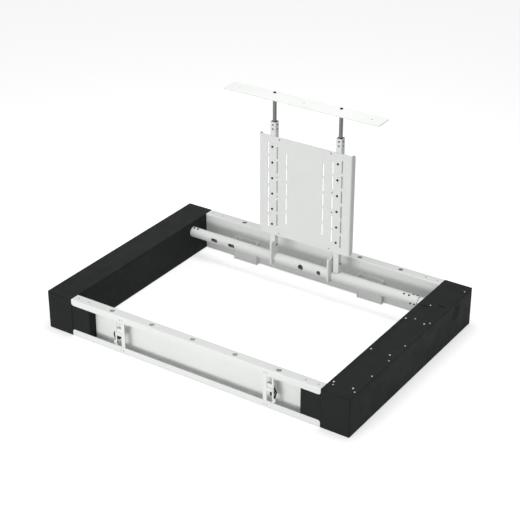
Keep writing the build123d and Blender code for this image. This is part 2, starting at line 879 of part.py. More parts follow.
def display_plate():
    """The drilled and slotted plate with a return flange down each side and a collar behind each round hole."""
    half = plate_width / 2
    back = plate_front_y + plate_sheet
    flange_back = plate_front_y + plate_flange
    plate = block(-half, half, plate_front_y, flange_back, plate_bottom, plate_top)
    plate = fillet(plate.edges().filter_by(Axis.Z).sort_by(Axis.Y)[:2], plate_fold)
    plate = fillet(plate.edges().filter_by(Axis.X).sort_by(Axis.Y)[-2:], plate_flange_corner)
    hollow = block(plate_sheet - half, half - plate_sheet, back, flange_back + past, plate_bottom - past,
                   plate_top + past)
    plate -= fillet(hollow.edges().filter_by(Axis.Z).sort_by(Axis.Y)[:2], plate_fold - plate_sheet)
    for x, z in pattern_hole_places():
        plate += bar_y(hole_collar_radius, x, back, back + hole_collar_length, z)
    cuts = []
    front = plate_front_y - past
    for x, rises in slot_columns():
        for side in (-1, 1):
            for rise in rises:
                z = plate_centre_z + rise
                cuts.append(upright_slot(side * x, front, back + past, z, slot_length, slot_width))
    for x, z in pattern_hole_places():
        cuts.append(bar_y(pattern_hole_radius, x, front, back + hole_collar_length + past, z))
    for side in (-1, 1):
        cuts.append(bar_y(between_slots_radius, side * outer_slots_x, front, back + past,
                          plate_centre_z - slot_pitch))
        for place in plate_screw_places(side):
            cuts.append(screw_hole(place, (0, -1, 0), plate_screw_size, 2 * plate_sheet))
    return plate - cuts


def arm_bolt_place(side):
    """Where a column's cross bolt stands; both heads are on the column's right."""
    return (side * column_x + column_side / 2, axis_y, arm_bolt_z), (1, 0, 0)


def arm_bolts():
    """The cross bolts: the left one stays in its column, the right one goes on through the arm."""
    left = screw(*arm_bolt_place(-1), arm_bolt_size, column_side)
    right = screw(*arm_bolt_place(1), arm_bolt_size, column_side + arm_column_gap + arm_sheet)
    return [left, right]


def left_arm():
    """A thick plate in front of the left column, flush with its right side, coped on the tube."""
    high = -column_x + column_side / 2
    low = high - arm_sheet
    front, back = axis_y - arm_front, column_front_y - seat_clearance
    body = block(low, high, front, back, axis_z - arm_bottom, axis_z + arm_top)
    corners = body.edges().filter_by(Axis.X).sort_by(Axis.Y)[:2]
    body = fillet(corners, arm_corner)
    return body - bar_x(tube_radius + seat_clearance, low - past, high + past, axis_y, axis_z)


def right_arm():
    """A thick plate round the tube's front and top, beside the right column, with a spacer boss to it."""
    column_face = column_x - column_side / 2
    high = column_face - arm_column_gap
    low = high - arm_sheet
    front, back = axis_y - arm_front, axis_y + arm_back
    bottom = axis_z - arm_bottom
    body = block(low, high, front, back, bottom, axis_z + arm_top)
    body = fillet(body.edges().filter_by(Axis.X), arm_corner)
    body -= block(low - past, high + past, axis_y, back + past, bottom - past, axis_z)
    body += bar_x(arm_spacer_radius, high, column_face - seat_clearance, axis_y, arm_bolt_z)
    body -= screw_hole(*arm_bolt_place(1), arm_bolt_size, 2 * column_side)
    return body - bar_x(tube_radius + seat_clearance, low - past, high + past, axis_y, axis_z)


# Lid strip and height rods

def clamp_screw_places(side):
    """Set screws that hold a rod: two in the column's front, two in its right side."""
    x = side * column_x
    half = column_side / 2
    places = []
    for drop in clamp_screw_drops:
        places.append(((x, axis_y - half, column_top - drop), (0, -1, 0)))
        places.append(((x + half, axis_y, column_top - drop), (1, 0, 0)))
    return places


def column_screws():
    """Headless screws that stop just short of the rods, a little sunk, and the arms' bolts."""
    made = arm_bolts()
    reach = column_side / 2 - rod_radius - slide_clearance
    for side in (-1, 1):
        for place, way in clamp_screw_places(side):
            seat = Plane(origin=place, z_dir=way)
            mouth = seat.offset(-clamp_screw_sink) * Circle(clamp_screw_size / 2)
            body = extrude(mouth, clamp_screw_sink - reach)
            socket = extrude(seat * RegularPolygon(clamp_socket_radius, 6), -clamp_socket_depth)
            made.append(body - socket)
    return Compound(children=made)


def rod_sleeve(side):
    """The plastic sleeve in a column's mouth, just under the column's rim."""
    x = side * column_x
    inside = column_side / 2 - column_wall - seat_clearance
    low = column_top - sleeve_length
    body = block(x - inside, x + inside, axis_y - inside, axis_y + inside, low, sleeve_top)
    body = fillet(body.edges().filter_by(Axis.Z), column_corner - column_wall)
    cuts = [bar_z(rod_radius + running_clearance, x, axis_y, low - past, sleeve_top + past)]
    for place, way in clamp_screw_places(side):
        cuts.append(screw_hole(place, way, clamp_screw_size, column_side / 2))
    return body - cuts


def height_rod(side):
    """A round rod from the strip down into its column, tapped at the top."""
    x = side * column_x
    body = bar_z(rod_radius, x, axis_y, strip_bottom - rod_length, strip_bottom)
    body = chamfer(body.edges().sort_by(Axis.Z)[0], rod_chamfer)
    tap = strip_screw_size / 2 + seat_clearance
    return body - bar_z(tap, x, axis_y, strip_bottom - rod_tap_depth, strip_bottom + past)


def lid_strip():
    """The flat strip on the rods."""
    front = axis_y - strip_front_overhang
    body = block(-strip_length / 2, strip_length / 2, front, front + strip_width, strip_bottom, strip_top)
    body = fillet(body.edges().filter_by(Axis.Z), strip_corner)
    cuts = []
    for i in (-1, 0, 1):
        cuts.append(bar_z(strip_hole_radius, i * strip_hole_spacing, front + strip_width / 2,
                          strip_bottom - past, strip_top + past))
    for side in (-1, 1):
        place = (side * column_x, axis_y, strip_top)
        cuts.append(screw_hole(place, (0, 0, 1), strip_screw_size, 2 * strip_sheet))
    return body - cuts


def strip_screws():
    """The two screws that hold the strip on its rods."""
    made = []
    for side in (-1, 1):
        place = (side * column_x, axis_y, strip_top)
        made.append(screw(place, (0, 0, 1), strip_screw_size, strip_screw_length))
    return Compound(children=made)


# Bearings

def bearing_housing(side):
    """A square flange with a boss on the inside of a box's inner wall; the tube's end turns in its recess."""
    near, far = side * housing_x, side * housing_end_x
    half = housing_side / 2
    flange = block(near, side * boss_x, axis_y - half, axis_y + half, axis_z - half, axis_z + half)
    flange = fillet(flange.edges().filter_by(Axis.X), housing_corner)
    body = flange + bar_x(housing_boss_radius, near, far, axis_y, axis_z)
    cuts = [bar_x(bush_radius + seat_clearance, near, far + side * past, axis_y, axis_z)]
    cuts.append(bar_x(wall_hole_radius, near - side * past, side * boss_x, axis_y, axis_z))
    reach = housing_plate + box_sheet
    cuts += [screw_hole(place, (side, 0, 0), housing_bolt_size, reach) for place in housing_bolt_places(side)]
    return body - cuts


def bearing_bushes():
    """The three bronze bushes: one in each housing and one in the outer plate."""
    ends = [(-housing_end_x, -boss_x), (boss_x, housing_end_x)]
    ends.append((outer_plate_x, outer_plate_x + outer_plate))
    bushes = []
    for low, high in ends:
        body = bar_x(bush_radius, low, high, axis_y, axis_z)
        bushes.append(body - bar_x(journal_radius + running_clearance, low - past, high + past, axis_y, axis_z))
    return Compound(children=bushes)


def shaft_collar():
    """The clamping ring that keeps the left shaft in its bush."""
    near = -(housing_end_x + slide_clearance)
    far = near - collar_width
    body = bar_x(collar_radius, near, far, axis_y, axis_z)
    return body - bar_x(journal_radius + seat_clearance, near + past, far - past, axis_y, axis_z)


def outer_bearing_plate():
    """The foot-mounted plate that carries the right shaft's outer end."""
    half = outer_plate_depth / 2
    low, high = outer_plate_x, outer_plate_x + outer_plate
    body = block(low, high, axis_y - half, axis_y + half, box_sheet, axis_z + outer_plate_rise)
    body = fillet(body.edges().filter_by(Axis.X).sort_by(Axis.Z)[-2:], outer_plate_corner)
    body += block(low, high + outer_foot, axis_y - half, axis_y + half, box_sheet, box_sheet + outer_plate)
    return body - bar_x(bush_radius + seat_clearance, low - past, high + past, axis_y, axis_z)


# Gear and rack

def involute(base, radius, start):
    """A point of an involute of the base circle, at this radius, turned by start."""
    roll = math.sqrt(max((radius / base) ** 2 - 1, 0))
    turn = start + roll - math.atan(roll)
    return radius * math.cos(turn), radius * math.sin(turn)


def gear_outline():
    """The corners of a gear with one tooth pointing down, as (y, z) from the axis."""
    pressure = math.radians(pressure_angle)
    base = pitch_radius * math.cos(pressure)
    tip = pitch_radius + gear_module
    root = pitch_radius - tooth_depth
    half_tooth = (rack_pitch / 2 - gear_backlash / 2) / 2 / pitch_radius
    start = -half_tooth - (math.tan(pressure) - pressure)
    flank_low = max(base, root)
    radii = [flank_low + (tip - flank_low) * i / flank_steps for i in range(flank_steps + 1)]
    flank = [involute(base, radius, start) for radius in radii]
    root_turn = math.atan2(flank[0][1], flank[0][0])
    flank.insert(0, (root * math.cos(root_turn), root * math.sin(root_turn)))
    tooth = flank + [(x, -y) for x, y in reversed(flank)]
    points = []
    for i in range(gear_teeth):
        turn = 2 * math.pi * i / gear_teeth - math.pi / 2
        cos, sin = math.cos(turn), math.sin(turn)
        points += [(x * cos - y * sin, x * sin + y * cos) for x, y in tooth]
    return points


def drive_gear():
    """The gear on the right shaft."""
    gear = prism_x([(axis_y + y, axis_z + z) for y, z in gear_outline()], gear_low_x, gear_high_x)
    gear += bar_x(gear_hub_radius, gear_low_x - gear_hub_side, gear_high_x + gear_hub_side, axis_y, axis_z)
    gear -= bar_x(journal_radius + seat_clearance, gear_low_x - gear_hub_side - past,
                  gear_high_x + gear_hub_side + past, axis_y, axis_z)
    return gear - key_block(seat_clearance)


def gear_rack():
    """The toothed rack, with a gap under the gear's lowest tooth at rest, and its tang."""
    slope = math.tan(math.radians(pressure_angle))
    tip_z = rack_pitch_z + gear_module
    half_pitch = (rack_pitch / 2 - gear_backlash / 2) / 2
    half_tip = half_pitch - gear_module * slope
    half_root = half_pitch + tooth_depth * slope
    points = [(rack_tang_y, rack_bottom_z), (rack_tang_y, rack_root_z)]
    for i in range(-rack_teeth_front, rack_teeth_back):
        middle = axis_y + (i + 0.5) * rack_pitch
        points.append((middle - half_root, rack_root_z))
        points.append((middle - half_tip, tip_z))
        points.append((middle + half_tip, tip_z))
        points.append((middle + half_root, rack_root_z))
    points += [(rack_back_y, rack_root_z), (rack_back_y, rack_bottom_z)]
    rack = prism_x(points, gear_low_x, gear_high_x)
    stud_end = rack_tang_y + stud_length + past
    cuts = [bar_y(stud_radius + seat_clearance, gear_plane_x, rack_tang_y - past, stud_end, drive_z)]
    cuts.append(cross_pin_bar(seat_clearance, past))
    return rack - cuts


def cross_pin_bar(extra, over):
    """The pin through tang and stud, grown by extra and longer by over."""
    y = rack_tang_y + stud_length / 2
    return bar_x(pin_radius + extra, gear_low_x - over, gear_high_x + over, y, drive_z)


def rack_guide():
    """The channel under the rack that keeps it in mesh."""
    half = guide_length / 2
    gap = slide_clearance
    low, high = gear_low_x - gap, gear_high_x + gap
    body = block(low - guide_cheek, high + guide_cheek, axis_y - half, axis_y + half, box_sheet,
                 rack_bottom_z + guide_cheek_rise)
    front, back = axis_y - half - past, axis_y + half + past
    body -= block(low, high, front, back, rack_bottom_z - gap, rack_bottom_z + 2 * rack_body)
    hollow_top = rack_bottom_z - gap - guide_foot
    body -= block(low + guide_cheek, high - guide_cheek, front, back, box_sheet + guide_foot, hollow_top)
    return body


# Screw actuator

def drive_motor():
    """The sealed motor, with a rounded end."""
    body = bar_y(actuator_radius, gear_plane_x, motor_front_y, gearbox_y, drive_z)
    return fillet(body.edges().sort_by(Axis.Y)[0], motor_round)


def motor_gearbox():
    """The reduction housing between motor and screw, hollow for the screw's coupling end."""
    body = bar_y(actuator_radius, gear_plane_x, gearbox_y, actuator_tube_y, drive_z)
    neck = lead_screw_radius + running_clearance
    start = actuator_tube_y - gearbox_length / 2
    return body - bar_y(neck, gear_plane_x, start, actuator_tube_y + past, drive_z)


def actuator_tube():
    """The outer tube round screw and nut."""
    body = bar_y(actuator_radius, gear_plane_x, actuator_tube_y, end_cap_y, drive_z)
    bore = actuator_radius - actuator_wall
    return body - bar_y(bore, gear_plane_x, actuator_tube_y - past, end_cap_y + past, drive_z)


def actuator_end_cap():
    """The cap that guides the push rod out of the tube."""
    body = bar_y(actuator_radius, gear_plane_x, end_cap_y, end_cap_y + end_cap_length, drive_z)
    inner_end = end_cap_y - end_cap_spigot
    body += bar_y(actuator_radius - actuator_wall - seat_clearance, gear_plane_x, inner_end, end_cap_y, drive_z)
    return body - bar_y(push_rod_radius + running_clearance, gear_plane_x, inner_end - past,
                        end_cap_y + end_cap_length + past, drive_z)


def lead_screw():
    """The screw spindle, from the reduction housing through the nut into the push rod."""
    start = actuator_tube_y - gearbox_length / 2 + slide_clearance
    return bar_y(lead_screw_radius, gear_plane_x, start, screw_end_y, drive_z)


def lead_nut():
    """The nut on the push rod's inner end."""
    body = bar_y(nut_radius, gear_plane_x, nut_y, nut_y + nut_length, drive_z)
    bore = lead_screw_radius + running_clearance
    return body - bar_y(bore, gear_plane_x, nut_y - past, nut_y + nut_length + past, drive_z)


def push_rod():
    """The hollow rod with a threaded stud on its outer end."""
    start = nut_y + nut_length
    body = bar_y(push_rod_radius, gear_plane_x, start, rack_tang_y, drive_z)
    plug = rack_tang_y - 2 * push_rod_radius
    body -= bar_y(push_rod_radius - push_rod_wall, gear_plane_x, start - past, plug, drive_z)
    body += bar_y(stud_radius, gear_plane_x, rack_tang_y, rack_tang_y + stud_length, drive_z)
    return body - cross_pin_bar(seat_clearance, past)


def cross_plates():
    """Upright plates across the right box; the back two hold the actuator."""
    plates = []
    low, high = cross_centre_x - cross_width / 2, cross_centre_x + cross_width / 2
    rim_gap = rim_width + slide_clearance
    flange_high = tray_top - box_sheet
    for y in cross_y:
        front, back = y - cross_flange / 2, y + cross_flange / 2
        body = block(low, high, back - cross_plate, back, box_sheet, flange_high)
        body += block(low, high, front, back, box_sheet, box_sheet + cross_plate)
        body += block(low, high, front, back, flange_high - cross_plate, flange_high)
        body += block(inner_x + rim_gap, half_width - rim_gap, front, back, flange_high - cross_plate, tray_top)
        cuts = []
        if back > motor_front_y:
            seat_radius = actuator_radius + seat_clearance
            cuts.append(bar_y(seat_radius, gear_plane_x, front - past, back + past, drive_z))
        for end in (-1, 1):
            place = (cross_centre_x + end * cross_screw_spacing / 2, y, frame_height)
            cuts.append(screw_hole(place, (0, 0, 1), cross_screw_size, 2 * cross_screw_length))
        plates.append(body - cuts)
    return Compound(children=plates)


# Control box and inlet

def control_case():
    """The open-topped plastic case that hangs under the right cover."""
    x0, x1 = control_x - control_width / 2, control_x + control_width / 2
    y0, y1 = control_y - control_length / 2, control_y + control_length / 2
    low = tray_top - control_height
    body = block(x0, x1, y0, y1, low, tray_top)
    body = fillet(body.edges().filter_by(Axis.Z), control_corner)
    body -= block(x0 + control_wall, x1 - control_wall, y0 + control_wall, y1 - control_wall,
                  low + control_wall, tray_top + past)
    cuts = []
    for place in control_screw_places():
        body += bar_z(control_post_radius, place[0], place[1], low, tray_top)
        cuts.append(screw_hole(place, (0, 0, 1), control_screw_size, 2 * control_screw_length))
    for x in (x0 + board_post_inset, x1 - board_post_inset):
        body += bar_z(board_post_radius, x, control_y, low, low + control_wall + board_standoff)
    return body - cuts


def control_board():
    """The circuit board on its standoffs."""
    half_width_x = control_width / 2 - control_wall - board_clearance
    half_length = control_screw_spacing / 2 - control_post_radius - board_clearance
    z = tray_top - control_height + control_wall + board_standoff
    return block(control_x - half_width_x, control_x + half_width_x, control_y - half_length,
                 control_y + half_length, z, z + board_thickness)


def power_inlet():
    """The mains inlet in the right box's back wall."""
    half_w, half_h = inlet_width / 2, inlet_height / 2
    wall = half_depth - box_sheet
    deep = wall - inlet_depth
    body = block(inlet_x - half_w, inlet_x + half_w, deep, half_depth - inlet_recess, inlet_z - half_h,
                 inlet_z + half_h)
    body += block(inlet_x - half_w - inlet_flange, inlet_x + half_w + inlet_flange,
                  wall - inlet_flange_sheet, wall, inlet_z - half_h - inlet_flange,
                  inlet_z + half_h + inlet_flange)
    floor = deep + 2 * inlet_wall
    body -= block(inlet_x - half_w + inlet_wall, inlet_x + half_w - inlet_wall, floor, half_depth,
                  inlet_z - half_h + inlet_wall, inlet_z + half_h - inlet_wall)
    for i in (-1, 0, 1):
        x = inlet_x + i * inlet_width / 4
        body += block(x - inlet_pin / 2, x + inlet_pin / 2, floor - inlet_wall / 2, wall - 2 * inlet_wall,
                      inlet_z - inlet_pin, inlet_z + inlet_pin)
    return body


# Stiffeners in the left box

def stiffener_screw_places():
    """Where each stiffener's screw stands on the box's inner wall."""
    return [(-inner_x, y, stiffener_screw_z) for y in stiffener_y]


def stiffeners():
    """Folded ribs across the left box, screwed to its inner wall."""
    ribs = []
    low, high = -half_width + box_sheet, -inner_x - box_sheet
    for place in stiffener_screw_places():
        front, back = place[1] - stiffener_flange / 2, place[1] + stiffener_flange / 2
        body = block(low, high, front, back, box_sheet, tray_top - box_sheet)
        body = fillet(body.edges().filter_by(Axis.Y), stiffener_fold)
        body -= block(low + stiffener_sheet, high - stiffener_sheet, front + stiffener_sheet, back + past,
                      box_sheet + stiffener_sheet, tray_top - box_sheet - stiffener_sheet)
        reach = box_sheet + 2 * stiffener_sheet
        ribs.append(body - screw_hole(place, (1, 0, 0), stiffener_screw_size, reach))
    return Compound(children=ribs)


# Panel catches in the front rail

def catch_span(side):
    """The inner and outer edge of a catch's strap, as distances from the centre plane."""
    outer = inner_x - (left_catch_from_box if side < 0 else right_catch_from_box)
    return outer - catch_width, outer


def catch_pivot_x(side):
    """How far a catch's pivot is from the centre plane."""
    return catch_span(side)[1] - catch_pivot_inset


def on_side(side, shape):
    """A shape made for the right, mirrored where it is for the left."""
    return mirrored(shape) if side < 0 else shape


def catch_screw_places(side):
    """Screws through both lips into a catch bracket."""
    middle = catch_span(side)[0] + catch_screw_inset
    places = []
    for z in (catch_screw_low_z, catch_screw_high_z):
        for end in (-1, 1):
            places.append((side * (middle + end * catch_screw_spacing / 2), -half_depth, z))
    return places


def catch_bracket(side):
    """A windowed strap behind the lips, with an ear for the lever's pivot."""
    low, high = catch_span(side)
    window_low, window_high = low + catch_bar_width, high - catch_edge_width
    bottom, top = rail_sheet + catch_end_gap, frame_height - rail_sheet - catch_end_gap
    body = block(low, high, catch_front, catch_back, bottom, top)
    ear_low, ear_high = catch_pivot_z - catch_ear, catch_pivot_z + catch_ear
    body += block(high, high + catch_ear, catch_front, catch_back, ear_low, ear_high)
    body = fillet(body.edges().filter_by(Axis.Y).sort_by(Axis.X)[-2:], catch_ear / 2)
    body -= block(window_low, window_high, catch_front - past, catch_back + past, catch_window_low,
                  catch_window_high)
    body = on_side(side, body)
    cuts = [screw_hole(place, (0, -1, 0), catch_screw_size, 2 * (rail_sheet + catch_sheet))
            for place in catch_screw_places(side)]
    cuts.append(bar_y(catch_pivot_radius + seat_clearance, side * catch_pivot_x(side), catch_front - past,
                      catch_back + past, catch_pivot_z))
    return body - cuts


def catch_block(side):
    """The sliding block behind the strap; its neck runs in the window and its button stands in front."""
    low, high = catch_span(side)
    window_low, window_high = low + catch_bar_width, high - catch_edge_width
    front = catch_back + slide_clearance
    body = block(window_low - catch_block_cover, window_high + catch_block_cover, front,
                 front + catch_block_depth, catch_block_low_z, catch_block_low_z + catch_block_height)
    body = chamfer(body.edges().filter_by(Axis.X).sort_by(Axis.Y)[-2:], catch_block_chamfer)
    nose_low = catch_block_low_z + catch_nose_rise
    nose_high = nose_low + catch_nose_height
    button_back = catch_front - slide_clearance
    body += block(window_low + slide_clearance, window_high - slide_clearance, button_back, front, nose_low,
                  nose_high)
    body += block(window_low - catch_button_cover, window_high + catch_button_cover,
                  button_back - catch_button_depth, button_back, nose_low, nose_high)
    return on_side(side, body)


def catch_buffer(side):
    """The rubber buffer under a sliding block, stuck to the strap's back."""
    high = catch_span(side)[1] - catch_edge_width + catch_seat_width
    top = catch_block_low_z - slide_clearance
    body = block(high - catch_buffer_width, high, catch_back, catch_back + catch_block_depth,
                 top - catch_buffer_height, top)
    return on_side(side, fillet(body.edges().filter_by(Axis.Y), catch_buffer_corner))


def catch_lever(side):
    """A catch's bent lever, standing up from its pivot beside the strap."""
    pivot = catch_pivot_x(side)
    half = catch_lever_width / 2
    knee_x, knee_z = pivot + catch_lever_knee[0], catch_pivot_z + catch_lever_knee[1]
    tip_x, tip_z = pivot + catch_lever_tip[0], catch_pivot_z + catch_lever_tip[1]
    points = [(pivot - 2 * half, catch_pivot_z), (pivot + 2 * half, catch_pivot_z), (knee_x + half, knee_z),
              (tip_x + half, tip_z), (tip_x - half, tip_z - half), (knee_x - half, knee_z)]
    front = catch_back + slide_clearance
    back = front + catch_lever_sheet
    body = fillet(prism_y(points, front, back).edges().filter_by(Axis.Y), catch_lever_corner)
    body += bar_y(catch_lever_width, pivot, front, back, catch_pivot_z)
    hole = bar_y(catch_pivot_radius + running_clearance, pivot, front - past, back + past, catch_pivot_z)
    return on_side(side, body - hole)


def catch_pivot(side):
    """The headed pin that a lever turns on, through its bracket's ear."""
    x = catch_pivot_x(side)
    lever_back = catch_back + 2 * slide_clearance + catch_lever_sheet
    head_front = catch_front - catch_pin_head_height
    body = bar_y(catch_pivot_radius, x, head_front, lever_back, catch_pivot_z)
    body += bar_y(catch_pin_head, x, head_front, catch_front, catch_pivot_z)
    body += bar_y(catch_pin_head, x, lever_back, lever_back + catch_pin_head_height, catch_pivot_z)
    return on_side(side, body)


def catch_screws():
    """The flat screws of both catch brackets."""
    length = rail_sheet + catch_sheet + catch_screw_size / 2
    made = []
    for side in (-1, 1):
        for place in catch_screw_places(side):
            made.append(flat_screw(place, (0, -1, 0), catch_screw_size, length))
    return Compound(children=made)


parts = {
    "left_side_box": side_tray(-1),
    "right_side_box": side_tray(1),
    "left_side_cover": side_cover(-1),
    "right_side_cover": side_cover(1),
    "side_cover_screws": cover_screws(),
    "front_rail": channel(-1),
    "back_rail": channel(1),
    "rail_joint_blocks": joint_blocks(),
    "rail_joint_screws": joint_screws(),
    "inner_wall_screws": inner_wall_screws(),
    "left_rail_bracket": beam_bracket(bracket_left_x),
    "right_rail_bracket": beam_bracket(bracket_right_x),
    "rail_bracket_screws": bracket_screws(),
    "cross_tube": cross_tube(),
    "cross_tube_screws": tube_screws(),
    "left_stub_shaft": left_stub(),
    "right_stub_shaft": right_stub(),
    "left_shaft_collar": shaft_collar(),
    "left_column": square_column(-1),
    "right_column": square_column(1),
    "left_swing_arm": left_arm(),
    "right_swing_arm": right_arm(),
    "display_plate": display_plate(),
    "display_plate_screws": plate_screws(),
    "rod_sleeves": Compound(children=[rod_sleeve(-1), rod_sleeve(1)]),
    "column_screws": column_screws(),
    "left_height_rod": height_rod(-1),
    "right_height_rod": height_rod(1),
    "lid_strip": lid_strip(),
    "lid_strip_screws": strip_screws(),
    "left_bearing_housing": bearing_housing(-1),
    "right_bearing_housing": bearing_housing(1),
    "outer_bearing_plate": outer_bearing_plate(),
    "bearing_bushes": bearing_bushes(),
    "drive_gear": drive_gear(),
    "drive_gear_key": key_block(0),
    "gear_rack": gear_rack(),
    "rack_cross_pin": cross_pin_bar(0, 0),
    "rack_guide": rack_guide(),
    "drive_motor": drive_motor(),
    "motor_gearbox": motor_gearbox(),
    "actuator_tube": actuator_tube(),
    "actuator_end_cap": actuator_end_cap(),
    "lead_screw": lead_screw(),
    "lead_nut": lead_nut(),
    "push_rod": push_rod(),
    "right_box_cross_plates": cross_plates(),
    "control_case": control_case(),
    "control_board": control_board(),
    "power_inlet": power_inlet(),
    "left_box_stiffeners": stiffeners(),
    "left_catch_bracket": catch_bracket(-1),
    "right_catch_bracket": catch_bracket(1),
    "left_catch_block": catch_block(-1),
    "right_catch_block": catch_block(1),
    "left_catch_lever": catch_lever(-1),
    "right_catch_lever": catch_lever(1),
    "catch_buffers": Compound(children=[catch_buffer(-1), catch_buffer(1)]),
    "catch_pivots": Compound(children=[catch_pivot(-1), catch_pivot(1)]),
    "catch_screws": catch_screws(),
}

os.makedirs("parts", exist_ok=True)
for name, shape in parts.items():
    export_step(shape, f"parts/{name}.step")
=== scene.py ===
"""The looks of a motorized display lift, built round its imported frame."""
import json
import math

import bmesh
import bpy
import numpy as np
from bpy.props import FloatProperty, FloatVectorProperty, IntProperty, PointerProperty
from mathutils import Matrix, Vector


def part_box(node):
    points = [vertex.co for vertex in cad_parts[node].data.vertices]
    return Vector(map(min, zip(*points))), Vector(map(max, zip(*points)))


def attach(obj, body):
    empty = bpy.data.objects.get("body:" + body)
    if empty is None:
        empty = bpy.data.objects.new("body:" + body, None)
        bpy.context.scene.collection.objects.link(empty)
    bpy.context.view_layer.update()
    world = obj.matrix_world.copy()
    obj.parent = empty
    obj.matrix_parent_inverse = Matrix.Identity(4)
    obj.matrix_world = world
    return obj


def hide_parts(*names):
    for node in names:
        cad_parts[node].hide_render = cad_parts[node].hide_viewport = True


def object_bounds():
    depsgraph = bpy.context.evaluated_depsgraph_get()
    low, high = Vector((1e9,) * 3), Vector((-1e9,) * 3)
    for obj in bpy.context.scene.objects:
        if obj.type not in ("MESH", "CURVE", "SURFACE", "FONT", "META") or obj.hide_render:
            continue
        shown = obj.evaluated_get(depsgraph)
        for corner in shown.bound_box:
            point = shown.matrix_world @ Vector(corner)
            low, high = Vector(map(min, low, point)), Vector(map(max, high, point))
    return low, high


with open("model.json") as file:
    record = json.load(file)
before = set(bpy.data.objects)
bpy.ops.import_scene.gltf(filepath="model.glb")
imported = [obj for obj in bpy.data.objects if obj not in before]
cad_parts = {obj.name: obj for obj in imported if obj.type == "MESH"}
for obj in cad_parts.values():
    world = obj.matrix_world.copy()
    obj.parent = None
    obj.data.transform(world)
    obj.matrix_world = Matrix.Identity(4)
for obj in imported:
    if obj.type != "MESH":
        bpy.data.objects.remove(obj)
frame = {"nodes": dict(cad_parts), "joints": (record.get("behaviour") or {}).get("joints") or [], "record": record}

bl_info = {
    "name": "Display lift",
    "version": (1, 0, 0),
    "blender": (4, 5, 0),
    "location": "View3D > Sidebar > Lift",
    "description": "Finishes the pieces of a swing-out display lift and lights them",
    "category": "Object",
}

CAD_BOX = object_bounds()
MM = 0.001
# Corners nearer than this are one corner, and faces that meet this flat are one face
MERGE = 0.001 * MM
FLAT_ANGLE = math.radians(0.05)
# Edges up to the first angle are shaded smooth, and edges past the second are rounded
SMOOTH_ANGLE = math.radians(30)
EDGE_ANGLE = math.radians(35)
# Most values of a noise texture lie between these
NOISE_LOW, NOISE_HIGH = 0.3, 0.7
NODES = frame["nodes"]
BODY_OF = {node: body for body, nodes in frame["record"]["behaviour"]["bodies"].items() for node in nodes}
SLOT_OF = {entry["node"]: entry["material_slot"] for entry in frame["record"]["subparts"]}
SWING = next(joint for joint in frame["joints"] if joint["name"] == "display_swing")
AXIS = Vector(SWING["pos_m"])


# Colours and sizes that a user would change

def linear(code):
    """An sRGB hex colour as linear light: c / 12.92 in the dark, ((c + 0.055) / 1.055) ** 2.4 above."""
    parts = np.array([int(code[i:i + 2], 16) for i in (1, 3, 5)]) / 255
    return tuple(np.where(parts <= 0.04045, parts / 12.92, ((parts + 0.055) / 1.055) ** 2.4).tolist())


def colour(label, code, text):
    """A colour property with its default from a hex code."""
    return FloatVectorProperty(name=label, description=text, subtype="COLOR", size=3, min=0, max=1,
                               default=linear(code))


def length(label, millimetres, text):
    """A length property with its default in millimetres."""
    return FloatProperty(name=label, description=text, unit="LENGTH", min=0, default=millimetres * MM)


class LiftFinishes(bpy.types.PropertyGroup):
    """Colours of the finishes."""
    black_coat: colour("Black coat", "#242726", "Powder coat of the side boxes")
    white_coat: colour("White coat", "#E8EAE8", "Powder coat of rails, tube, columns and plate")
    rod_steel: colour("Rod steel", "#6F726F", "Ground steel of the height rods")
    dark_screw: colour("Dark screws", "#202122", "Black oxide of the socket screws")
    zinc: colour("Zinc", "#B9BCBE", "Zinc plate on the flat screws")
    bronze: colour("Bronze", "#A9834B", "Sintered bronze of bushes and nut")
    cast_paint: colour("Cast paint", "#3B3D3E", "Paint on the cast housings")
    machined: colour("Machined steel", "#A7A9AB", "Turned and milled steel of the drive")
    anodised: colour("Anodised aluminium", "#C3C6C8", "Natural anodising of the actuator")
    plastic: colour("Black plastic", "#17181A", "Moulded sleeves, case and inlet")
    rubber: colour("Rubber", "#101112", "Buffers in the catches")
    board: colour("Circuit board", "#14532D", "Solder mask of the board")


class LiftSizes(bpy.types.PropertyGroup):
    """Sizes of the finish and of the details."""
    sheet_edge: length("Sheet edge", 0.7, "Rounding of cut sheet edges")
    machined_edge: length("Machined edge", 0.5, "Break on turned and milled edges")
    screw_edge: length("Screw edge", 0.25, "Rounding of screw heads")
    weld_width: length("Weld width", 5.0, "Width of the weld beads")
    weld_ripple: length("Weld ripple", 2.4, "Spacing of the ripples in a weld")
    weld_swell: FloatProperty(name="Weld swell", description="Ripple height as a share of the bead's radius",
                              subtype="FACTOR", min=0, max=1, default=0.12)
    weld_steps: IntProperty(name="Weld steps", description="Points along each weld", default=384, min=12)
    weld_sides: IntProperty(name="Weld sides", description="Points round each weld", default=12, min=3)
    peel: length("Orange peel", 5.0, "Spacing of the ripples in the powder coat")
    # The groove's strip takes the black oxide finish as painted shade, standing in for the shade down in the
    # groove
    groove: length("Tube groove", 5.0, "Bare strip of the shaft between the cross tube and its hub")
    hub_cover: length("Hub coat", 12.0, "How far the hub's coat goes on behind the box's wall")


